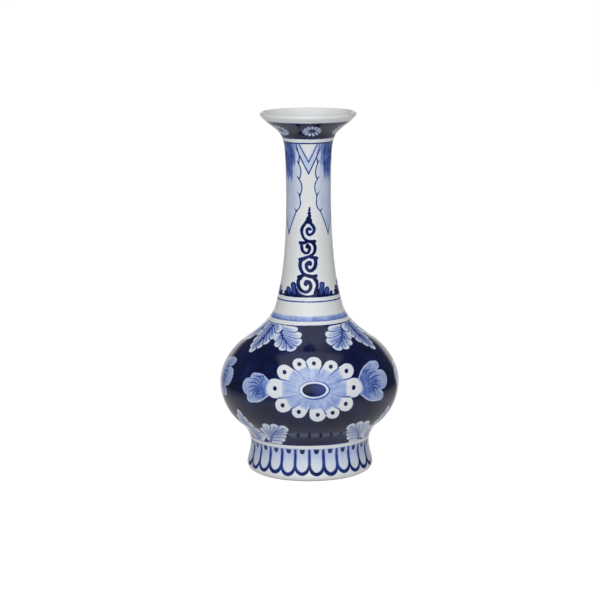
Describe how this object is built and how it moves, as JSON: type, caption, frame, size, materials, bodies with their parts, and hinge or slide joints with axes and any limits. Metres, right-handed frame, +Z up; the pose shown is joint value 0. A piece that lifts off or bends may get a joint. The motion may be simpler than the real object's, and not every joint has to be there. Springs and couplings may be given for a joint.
{
  "type": "bottle vase",
  "caption": "Blue-and-white bottle vase: splayed foot ring, round belly, tall slim neck and flared trumpet mouth, painted with flowers and leaves under a gloss glaze.",
  "frame": {"origin": "centre of the flat ring that the vase stands on, at the height of the surface under it", "axes": "+Z up along the vase's axis; the front flower faces -Y, +X is to the right when it is seen from the front"},
  "size_m": [0.1048, 0.1048, 0.21],
  "materials": {
    "biscuit": "unglazed fired white clay, fine dry grain",
    "slip": "fired slip, slightly darker than the clay",
    "painted_glaze": "clear gloss glaze over cobalt painting on an off-white ground",
    "plain_glaze": "clear gloss glaze over the bare white clay"
  },
  "bodies": {
    "root": {"foot_ring": "biscuit", "foot_slip": "slip", "bowl": "biscuit", "belly_slip": "slip", "shoulder": "biscuit", "neck_slip": "slip", "neck": "biscuit", "mouth_slip": "slip", "mouth": "biscuit", "glaze_coat": "painted_glaze", "base_glaze": "plain_glaze"}
  },
  "joints": []
}
